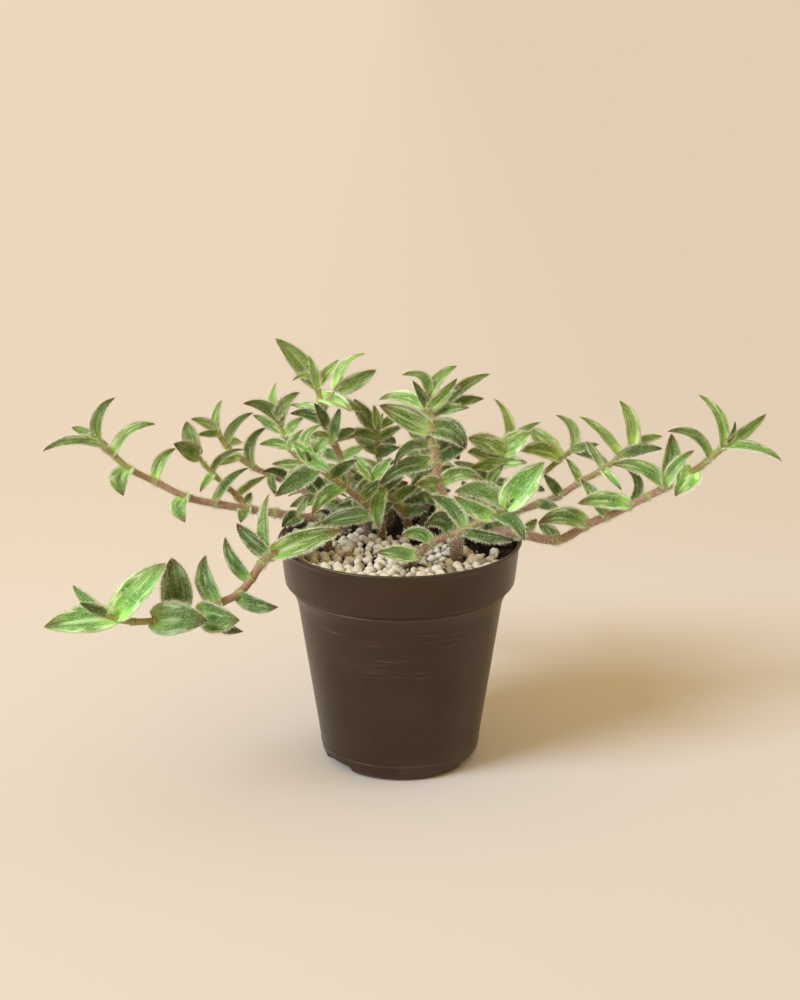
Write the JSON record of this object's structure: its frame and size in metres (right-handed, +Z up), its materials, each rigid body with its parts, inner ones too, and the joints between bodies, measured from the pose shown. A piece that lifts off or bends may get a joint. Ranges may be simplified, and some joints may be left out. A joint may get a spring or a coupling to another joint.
{
  "type": "potted trailing houseplant",
  "caption": "Trailing tradescantia with hairy, boat-shaped leaves, rooted in a plain brown nursery pot dressed with pumice.",
  "frame": {"origin": "middle of the pot's flat floor, on the surface that the pot stands on", "axes": "+Z up, -Y towards the viewer of the picture, +X to that viewer's right, along the longest stems"},
  "size_m": [0.3557, 0.2067, 0.2068],
  "materials": {
    "brown_plastic": "satin",
    "peaty_soil": "matte",
    "pumice": "matte",
    "leaf_and_stem": "matte"
  },
  "bodies": {
    "root": {"pot": "brown_plastic", "potting_soil": "peaty_soil", "pumice_dressing": "pumice", "stem_left_long": "leaf_and_stem", "stem_left_back": "leaf_and_stem", "stem_left_inner": "leaf_and_stem", "stem_front_left_short": "leaf_and_stem", "stem_tall_left": "leaf_and_stem", "stem_behind_centre": "leaf_and_stem", "stem_centre_short": "leaf_and_stem", "stem_behind_right": "leaf_and_stem", "stem_tall_right": "leaf_and_stem", "stem_front_right": "leaf_and_stem", "stem_right_long": "leaf_and_stem", "stem_right_second": "leaf_and_stem", "stem_right_third": "leaf_and_stem", "stem_right_inner": "leaf_and_stem", "stem_front_left_long": "leaf_and_stem", "stem_back_left": "leaf_and_stem", "stem_back_right": "leaf_and_stem"}
  },
  "joints": []
}
